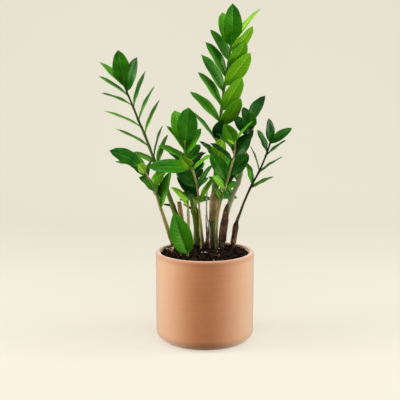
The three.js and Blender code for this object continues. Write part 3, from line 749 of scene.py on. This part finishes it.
def add_leaflet(skin, foot, row, fold, taper, rng, slot):
    """A waxy leaflet: a closed blade with a sunk midrib, a neck, a bow and a little wave."""
    _, right, back, up, width, turn, tone_and_painted_light = row
    reach = Vector((right, back, up))
    length = reach.length
    axis = reach / length
    front = Vector((0, -1, 0))
    face0 = (front - axis * front.dot(axis)).normalized()
    face0 = Matrix.Rotation(math.radians(turn), 3, axis) @ face0
    half_width = width / 2 * rng.uniform(1.03, 1.1)
    taper = [power + rng.uniform(-0.06, 0.06) for power in taper]
    bend = LEAFLET_BOW * (0.5 if abs(turn) > SIDEWAYS_TURN else 1.0)
    twist = math.radians(rng.uniform(-9, 9))
    sickle = rng.uniform(-0.02, 0.02)
    wave_size = rng.uniform(0.2, 0.6)
    wave_phase = rng.uniform(0, ABOUT_A_TURN)
    wave_count = rng.uniform(1.6, 2.6)
    tone_and_painted_light = tone_and_painted_light + rng.uniform(-0.04, 0.04)
    sides = [-u for u in reversed(LEAFLET_ACROSS)] + list(LEAFLET_ACROSS[1:])
    count = len(sides)
    tops, bottoms = [], []
    for i in range(LEAFLET_ALONG):
        t = (i / LEAFLET_ALONG) ** LEAFLET_LEAN
        turn_here = Matrix.Rotation(twist * (t - 0.2), 3, axis)
        face = turn_here @ face0
        side = axis.cross(face)
        neck = ease(t / 0.13)
        half = LEAFLET_NECK * (1 - neck) + max(half_width * leaflet_outline(t, taper), 0.25) * neck
        thick = 1.1 * LEAFLET_NECK * (1 - neck) + LEAFLET_THICKNESS / 2 * neck
        bow = 4 * bend * length * t * (1 - t)
        centre = foot + axis * (length * t) + face0 * bow + side * (sickle * length * 4 * t * (1 - t))
        top_ring, bottom_ring = [], []
        for u in sides:
            a = abs(u)
            lift = fold * half * (1.35 * a - 0.45 * a * a) * neck
            phase = wave_count * ABOUT_A_TURN * t + wave_phase + (2.0 if u > 0 else 0.0)
            lift += wave_size * a * a * math.sin(phase) * neck
            groove = math.exp(-((u * half / 0.75) ** 2)) * neck
            body = thick * (1 - a ** 5) if neck > 0.5 else thick * math.sqrt(max(0.0, 1 - u * u))
            base = centre + side * (u * half) + face * lift
            top = base + face * (body - 0.45 * groove * (1 - t))
            bottom = base - face * (body + 0.5 * groove * (1 - t))
            values = dict(across=u, along=max(t, 0.001), tone_and_painted_light=tone_and_painted_light)
            if a == 1.0:
                edge = skin.point(base, **values)
                top_ring.append(edge)
                bottom_ring.append(edge)
            else:
                top_ring.append(skin.point(top, **values))
                bottom_ring.append(skin.point(bottom, under=1.0, **values))
        tops.append(top_ring)
        bottoms.append(bottom_ring)
    for (low, high), (low_b, high_b) in zip(zip(tops, tops[1:]), zip(bottoms, bottoms[1:])):
        for k in range(count - 1):
            skin.face((low[k], low[k + 1], high[k + 1], high[k]), slot)
            skin.face((low_b[k + 1], low_b[k], high_b[k], high_b[k + 1]), slot)
    tip = skin.point(foot + axis * length, along=1.0, tone_and_painted_light=tone_and_painted_light)
    foot_point = skin.point(foot, along=0.001, tone_and_painted_light=tone_and_painted_light)
    for k in range(count - 1):
        skin.face((tops[-1][k], tops[-1][k + 1], tip), slot)
        skin.face((bottoms[-1][k + 1], bottoms[-1][k], tip), slot)
        skin.face((tops[0][k + 1], tops[0][k], foot_point), slot)
        skin.face((bottoms[0][k], bottoms[0][k + 1], foot_point), slot)


def make_frond(frond, leaf, barks, seed):
    """One compound leaf: its stalk and every leaflet in its table."""
    rng = random.Random(seed)
    skin = Skin()
    curve = Curve(frond["stalk"])
    top = frond["stalk"][-1][2]
    leaflets = frond.get("leaflets", [])
    heights = [min(row[0], top - 3) for row in leaflets]
    add_stalk(skin, curve, heights, seed * 3.1, 1, ragged=frond["name"] == "cut_stalk")
    for height, row in zip(heights, leaflets):
        foot = curve.point(curve.place_at_height(height))
        add_leaflet(skin, foot, row, frond["fold"], frond.get("taper", LEAFLET_TAPER), rng, 0)
    return skin.make(frond["name"] + "_grown", [leaf, barks[frond["bark"]]])


# -------- sheaths

def make_sheath(sheath, skins, seed):
    """A papery blade that hugs the stalk, with lengthwise creases and a torn edge."""
    frond = next(f for f in FRONDS if f["name"] == sheath["frond"])
    curve = Curve(frond["stalk"])
    rings_up, points_round = 34, 25
    skin = Skin()
    rings = []
    for i in range(rings_up + 1):
        rise = i / (rings_up + 1)
        t = curve.place_at_height(sheath["foot"] + (sheath["top"] - sheath["foot"]) * rise)
        right, back = curve.sides(t)
        centre = curve.point(t)
        inner = curve.radius(t) + SHEATH_CLEARANCE
        reach = sheath["reach"] * (1 - rise ** SHEATH_NARROWING)
        reach *= 1 + 0.12 * noise.noise(Vector((rise * 9, seed, 0)))

        def place(part, depth):
            angle = math.radians(sheath["faces"] + reach * (part - 0.5))
            crease = 0.45 * noise.noise(Vector((part * 7, rise * 2.5, seed)))
            crease += 0.2 * noise.noise(Vector((part * 19, rise * 4, seed + 5)))
            curl = 0.9 * abs(2 * part - 1) ** 4 + sheath.get("flare", 0.0) * rise ** 1.5
            radius = inner + depth + crease + curl
            return centre + right * (radius * math.cos(angle)) + back * (radius * math.sin(angle))

        outer_parts = [k / (points_round - 1) for k in range(points_round)]
        ring = [skin.point(place(part, SHEATH_THICKNESS), along=rise) for part in outer_parts]
        ring += [skin.point(place(part, 0.0), along=rise) for part in reversed(outer_parts)]
        rings.append(ring)
    skin.rings(rings)
    for ring, top in ((rings[0], False), (rings[-1], True)):
        count = points_round
        for k in range(count - 1):
            inside = 2 * count - 1 - k
            quad = (ring[k], ring[k + 1], ring[inside - 1], ring[inside])
            skin.face(quad if top else tuple(reversed(quad)))
    return skin.make(sheath["name"] + "_papery", [skins[sheath["skin"]]])


# -------- pot

def make_pot(clay):
    """A turned outline, very slightly out of true, with drainage holes cut in its floor."""
    inner = POT_RADIUS - POT_WALL
    corner = POT_CORNER - POT_WALL
    round_ = POT_RIM_ROUND
    outline = [(0.0, 0.0), (18, 0.0), (36, 0.0)]
    outline += arc(POT_FOOT_RADIUS - POT_CORNER, POT_CORNER, POT_CORNER, -90, 0, 14)
    wall_low, wall_high = POT_CORNER, POT_HEIGHT - round_
    wall_steps = 60
    for i in range(1, wall_steps):
        f = i / wall_steps
        radius = POT_FOOT_RADIUS + (POT_RADIUS - POT_FOOT_RADIUS) * f
        outline.append((radius, wall_low + (wall_high - wall_low) * f))
    outline += arc(POT_RADIUS - round_, POT_HEIGHT - round_, round_, 0, 90, 8)
    outline += arc(inner + round_, POT_HEIGHT - round_, round_, 90, 180, 8)
    outline += [(inner, 100), (inner, 60)]
    outline += arc(inner - corner, POT_FLOOR + corner, corner, 0, -90, 8)
    outline += [(20, POT_FLOOR), (0.0, POT_FLOOR)]
    segments = 160
    skin = Skin()
    rings = []
    for radius, height in outline[1:-1]:
        ring = []
        for angle in around(segments):
            spin = Vector((math.cos(angle), math.sin(angle), 0))
            uneven = 0.0
            if radius > 40:
                uneven = 0.10 * noise.noise(Vector((0.3, 0.7, height * 0.32)))
                uneven += 0.10 * noise.noise(spin * 1.6 + Vector((0, 0, height * 0.05)))
                uneven *= ease((height - 2) / 12)
            place = spin * (radius + uneven)
            place.z = height
            if radius > inner - 1 and height > POT_HEIGHT - round_:
                place.z += 0.25 * noise.noise(spin * 1.4 + Vector((4, 0, 0))) - 0.2
            ring.append(skin.point(place))
        rings.append(ring)
    skin.rings(rings)
    skin.cap(rings[0], skin.point(Vector((0, 0, 0))), top=False)
    skin.cap(rings[-1], skin.point(Vector((0, 0, POT_FLOOR))))
    pot = skin.make("pot_thrown", [clay])
    cut_drain_holes(pot)
    return pot


def cut_drain_holes(pot):
    cutters = []
    for turn in around(DRAIN_HOLES):
        angle = turn + math.pi / 2
        bpy.ops.mesh.primitive_cylinder_add(
            vertices=32, radius=DRAIN_RADIUS * MM, depth=3 * POT_FLOOR * MM,
            location=(DRAIN_CIRCLE * math.cos(angle) * MM, DRAIN_CIRCLE * math.sin(angle) * MM, 0),
        )
        cutter = bpy.context.object
        cutters.append(cutter)
        cut = pot.modifiers.new("drain", "BOOLEAN")
        cut.object = cutter
        cut.operation = "DIFFERENCE"
        cut.solver = "EXACT"
    apply_modifiers(pot)
    for cutter in cutters:
        bpy.data.objects.remove(cutter, do_unlink=True)


def apply_modifiers(piece):
    shaped = piece.evaluated_get(bpy.context.evaluated_depsgraph_get())
    mesh = bpy.data.meshes.new_from_object(shaped)
    piece.modifiers.clear()
    old = piece.data
    piece.data = mesh
    bpy.data.meshes.remove(old)


# -------- potting mix

def soil_height(x, y):
    """The mix's uneven top: heaped a little round the stalks, crumbly everywhere."""
    out = math.hypot(x, y) / (POT_RADIUS - POT_WALL)
    height = SOIL_EDGE + SOIL_HEAP * (1 - out * out)
    height += 1.1 * noise.noise(Vector((x * 0.06, y * 0.06, 3)))
    height += 0.9 * noise.noise(Vector((x * 0.22, y * 0.22, 7)))
    height += 0.55 * noise.noise(Vector((x * 0.6, y * 0.6, 11)))
    return height


def make_soil(soil):
    """The whole plug of mix, with a crumbly top."""
    radius = POT_RADIUS - POT_WALL - GAP
    corner = POT_CORNER - POT_WALL
    segments, rings_in = 220, 84
    skin = Skin()
    rings = []
    outline = arc(radius - corner, POT_FLOOR + GAP + corner, corner, -90, 0, 6)
    outline += [(radius, 80), (radius, 125)]
    for r, z in outline:
        ring = []
        for angle in around(segments):
            ring.append(skin.point(Vector((r * math.cos(angle), r * math.sin(angle), z))))
        rings.append(ring)
    for i in range(rings_in):
        r = radius * (1 - i / rings_in)
        ring = []
        for angle in around(segments):
            x, y = r * math.cos(angle), r * math.sin(angle)
            ring.append(skin.point(Vector((x, y, soil_height(x, y)))))
        rings.append(ring)
    skin.rings(rings)
    skin.cap(rings[0], skin.point(Vector((0, 0, POT_FLOOR + GAP))), top=False)
    skin.cap(rings[-1], skin.point(Vector((0, 0, soil_height(0, 0)))))
    return skin.make("potting_mix_top", [soil])


def rock_points():
    """A unit lump: a cube cut twice and rounded."""
    lump = bmesh.new()
    bmesh.ops.create_cube(lump, size=2.0)
    bmesh.ops.subdivide_edges(lump, edges=lump.edges, cuts=2, use_grid_fill=True)
    for vertex in lump.verts:
        vertex.co = vertex.co.lerp(vertex.co.normalized(), 0.65)
    lump.verts.index_update()
    points = [v.co.copy() for v in lump.verts]
    faces = [tuple(v.index for v in f.verts) for f in lump.faces]
    lump.free()
    return points, faces


def scatter(name, material, count, sizes, shape, sunk, rng):
    """Lumps strewn over the mix: sizes are their half lengths, shape their proportions."""
    points, faces = rock_points()
    skin = Skin()
    reach = POT_RADIUS - POT_WALL - 2.5
    for _ in range(count):
        out = reach * math.sqrt(rng.random())
        angle = rng.uniform(0, 2 * math.pi)
        x, y = out * math.cos(angle), out * math.sin(angle)
        size = rng.uniform(*sizes)
        roll = Matrix.Rotation(rng.uniform(-0.6, 0.6), 3, "X")
        tilt = roll @ Matrix.Rotation(rng.uniform(-0.6, 0.6), 3, "Y")
        turn = Matrix.Rotation(rng.uniform(0, ABOUT_A_TURN), 3, "Z") @ tilt
        stretch = Vector([size * s * rng.uniform(0.75, 1.25) for s in shape])
        centre = Vector((x, y, soil_height(x, y) + stretch.z * (1 - sunk)))
        seed = rng.uniform(0, 50)
        start = len(skin.points)
        for p in points:
            rough = 1 + 0.45 * noise.noise(p * 1.5 + Vector((seed, 0, 0)))
            local = Vector((p.x * stretch.x, p.y * stretch.y, p.z * stretch.z)) * rough
            skin.point(centre + turn @ local)
        for face in faces:
            skin.face(tuple(start + i for i in face))
    return skin.make(name, [material])


# Pale dry rootlets that stand off the mix by the foot of the left low frond.
ROOTLETS = [
    [(-47, 22, 156), (-48, 20, 151), (-47, 18, 147), (-49, 14, 143), (-52, 10, 140), (-55, 8, 138)],
    [(-60, 14, 139), (-60, 8, 142), (-57, 3, 143.5), (-53, 1, 142), (-51, -5, 140), (-53, -11, 138)],
    [(-57, 20, 138.5), (-52, 15, 142), (-49, 8, 143), (-50, 1, 141), (-47, -4, 138.5)],
]


def add_fibre(skin, places, radius):
    """A thin round strand through the places, half as thick at its ends."""
    sides = 6
    rings = []
    for i, place in enumerate(places):
        ahead = places[min(i + 1, len(places) - 1)] - places[max(i - 1, 0)]
        side = ahead.cross(Vector((0, 0, 1))).normalized()
        over = side.cross(ahead).normalized()
        r = radius * (0.5 if i in (0, len(places) - 1) else 1.0)
        ring = []
        for angle in around(sides):
            ring.append(skin.point(place + side * (r * math.cos(angle)) + over * (r * math.sin(angle))))
        rings.append(ring)
    skin.rings(rings)
    skin.cap(rings[0], skin.point(places[0].copy()), top=False)
    skin.cap(rings[-1], skin.point(places[-1].copy()))


def make_fibres(material, rng, count):
    """Thin dry roots and fibres that lie on the mix."""
    skin = Skin()
    for _ in range(count):
        angle = rng.uniform(0, 2 * math.pi)
        out = 60 * math.sqrt(rng.random())
        x, y = out * math.cos(angle), out * math.sin(angle)
        heading = rng.uniform(0, 2 * math.pi)
        radius = rng.uniform(0.25, 0.55)
        places = []
        for _ in range(9):
            if math.hypot(x, y) > POT_RADIUS - POT_WALL - 3:
                break
            places.append(Vector((x, y, soil_height(x, y) + radius * 0.9)))
            heading += rng.uniform(-0.45, 0.45)
            x += 1.9 * math.cos(heading)
            y += 1.9 * math.sin(heading)
        if len(places) >= 4:
            add_fibre(skin, places, radius)
    return skin.make("mix_fibres", [material])


def make_rootlets(material):
    """A smooth strand through each row of ROOTLETS."""
    steps = 24
    skin = Skin()
    for places in ROOTLETS:
        curve = Curve([(*place, ROOTLET_RADIUS) for place in places])
        add_fibre(skin, [curve.point(i / steps) for i in range(steps + 1)], ROOTLET_RADIUS)
    return skin.make("pale_rootlets", [material])


# Withered remains of old scale leaves that stand between the stalks: [x, y, z, radius].
SHREDS = [
    [(2.5, 34, 137, 2.2), (3, 34, 160, 2.0), (1.5, 35, 190, 1.0)],
    [(6, 36, 137, 2.4), (6, 37, 158, 2.0), (7, 38, 182, 0.8)],
    [(6.5, 30, 137, 1.8), (5.5, 30, 152, 1.6), (4.5, 31, 174, 0.8)],
    [(-24.5, 28, 137, 1.8), (-24, 28, 165, 1.6), (-25, 29, 205, 1.0)],
    [(24.5, 29, 137, 1.6), (24, 29, 148, 1.3), (22.5, 29, 160, 0.6)],
]


def make_shreds(material):
    """Ragged, twisted slivers: flat rings whose width wavers and turns with height."""
    sides, steps = 8, 30
    skin = Skin()
    for number, line in enumerate(SHREDS):
        curve = Curve(line)
        rings = []
        for i in range(steps + 1):
            t = i / steps
            right, back = curve.sides(t)
            centre = curve.point(t)
            radius = curve.radius(t) * (1 + 0.7 * noise.noise(Vector((t * 11, number * 5.0, 0))))
            ring = []
            for k, angle in enumerate(around(sides)):
                turn = angle + 2.2 * t + number
                flat = radius * (1.0 if k % (sides // 2) == 0 else 0.6)
                place = centre + right * (flat * math.cos(turn)) + back * (flat * math.sin(turn))
                ring.append(skin.point(place))
            rings.append(ring)
        skin.rings(rings)
        skin.cap(rings[0], skin.point(curve.point(0.0)), top=False)
        skin.cap(rings[-1], skin.point(curve.point(1.0)))
    return skin.make("old_scale_shreds", [material])


# -------- stage, light, camera

CREAM = (0.86, 0.81, 0.675)
BACKDROP_GLOW = 0.72
WORLD_LIGHT = 0.24
CAMERA_PLACE = (-0.0075, -1.520, 0.480)
CAMERA_DOWN = 9.7
CAMERA_LENS = 90.5


def make_stage():
    """A pale floor that sweeps up behind. It glows a little, so that it stays even and pale."""
    m = Nodes("backdrop")
    tint = m.mix(m.span(m.noise(1.4, 2), 0.35, 0.65), tuple(c * 0.985 for c in CREAM), CREAM)
    m.feed(m.shader.inputs["Emission Color"], tint)
    floor = m.mix(0.7, tint, (0.0, 0.0, 0.0))
    material = m.finish(floor, 0.9, Specular_IOR_Level=0.0, Emission_Strength=BACKDROP_GLOW)
    skin = Skin()
    profile = [(-3200, 0), (900, 0)] + arc(900, 900, 900, -90, 0, 24) + [(1800, 3600)]
    columns = [-3600, -1200, 1200, 3600]
    rings = [[skin.point(Vector((x, y, z - 0.3))) for x in columns] for y, z in profile]
    skin.rings(rings, closed=False)
    stage = skin.make("backdrop", [material])
    stage.visible_diffuse = False
    stage.visible_glossy = False


def softbox(name, place, aim, width, height, power, colour=(1, 1, 1)):
    light = bpy.data.lights.new(name, "AREA")
    light.shape = "RECTANGLE"
    light.size, light.size_y = width, height
    light.energy = power
    light.color = colour
    lamp = bpy.data.objects.new(name, light)
    lamp.location = place
    lamp.rotation_mode = "QUATERNION"
    lamp.rotation_quaternion = (Vector(aim) - Vector(place)).to_track_quat("-Z", "Y")
    bpy.context.scene.collection.objects.link(lamp)


def make_lights():
    middle = (0, 0, 0.25)
    softbox("softbox_left", (-1.3, -0.25, 0.6), middle, 0.8, 1.3, 24.5)
    softbox("softbox_right", (1.3, -0.15, 0.6), middle, 0.8, 1.3, 23)
    softbox("softbox_top", (0.0, -0.5, 1.7), middle, 0.9, 0.7, 10, (0.9, 0.97, 1.0))
    world = bpy.data.worlds.new("studio")
    world.use_nodes = True
    sky = world.node_tree.nodes["Background"]
    sky.inputs["Color"].default_value = (1.0, 0.98, 0.94, 1)
    sky.inputs["Strength"].default_value = WORLD_LIGHT
    bpy.context.scene.world = world


def make_camera():
    data = bpy.data.cameras.new("camera")
    data.sensor_width = 36.0
    data.lens = CAMERA_LENS
    camera = bpy.data.objects.new("camera", data)
    camera.location = CAMERA_PLACE
    camera.rotation_euler = (math.radians(90 - CAMERA_DOWN), 0, 0)
    bpy.context.scene.collection.objects.link(camera)
    bpy.context.scene.camera = camera


# -------- build

def build():
    bpy.context.scene.view_settings.view_transform = "Standard"
    make_camera()
    make_lights()
    make_stage()

    leaf = leaf_material()
    barks = {name: bark_material(name, *stops) for name, stops in BARKS.items()}
    skins = {
        "pale_sheath": sheath_material("pale_sheath", (0.30, 0.33, 0.07), (0.62, 0.62, 0.24)),
        "tan_sheath": sheath_material("tan_sheath", (0.17, 0.11, 0.035), (0.62, 0.43, 0.20)),
        "brown_sheath": sheath_material("brown_sheath", (0.010, 0.004, 0.003), (0.34, 0.17, 0.10)),
    }
    slots = {"frond_young": "young_leaf", "cut_stalk": "dried_sheath", "dry_stalk": "pale_sheath"}
    for seed, frond in enumerate(FRONDS + BARE_STALKS):
        piece = make_frond(frond, leaf, barks, seed + 1)
        place_piece(piece, slots.get(frond["name"], "leaf"), frond["name"])
    for seed, sheath in enumerate(SHEATHS):
        piece = make_sheath(sheath, skins, seed * 7.3)
        slot = "pale_sheath" if sheath["skin"] == "pale_sheath" else "dried_sheath"
        place_piece(piece, slot, sheath["name"])

    place_piece(make_pot(clay_material()), "clay", "pot")
    place_piece(make_soil(soil_material()), "potting_mix", "potting_mix")
    rng = random.Random(11)
    bark = chip_material("bark_chips", (0.004, 0.002, 0.001), (0.060, 0.028, 0.012), 700)
    clods = chip_material("peat_clods", (0.002, 0.0012, 0.001), (0.018, 0.010, 0.005), 500)
    perlite = chip_material("perlite", (0.62, 0.60, 0.56), (0.90, 0.89, 0.86), 900)
    fibre = chip_material("fibres", (0.05, 0.025, 0.012), (0.32, 0.20, 0.11), 900)
    strewn = [
        scatter("peat_clods", clods, 520, (1.2, 3.0), (1.0, 0.9, 0.7), 0.7, rng),
        scatter("bark_chips", bark, 240, (1.2, 3.4), (1.4, 0.7, 0.4), 0.3, rng),
        scatter("perlite_grains", perlite, 80, (0.55, 1.15), (1.0, 0.95, 0.85), 0.1, rng),
        make_fibres(fibre, rng, 46),
        make_rootlets(chip_material("rootlets", (0.20, 0.13, 0.07), (0.62, 0.50, 0.36), 700)),
        make_shreds(chip_material("old_scales", (0.012, 0.005, 0.003), (0.22, 0.12, 0.07), 300)),
    ]
    for piece in strewn:
        place_piece(piece, "potting_mix")
    tuber = tuber_material()
    for name in ("rhizome_left", "rhizome_centre", "rhizome_right", "rhizome_far_right"):
        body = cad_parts[name]
        body.data.materials.clear()
        body.data.materials.append(tuber)


build()
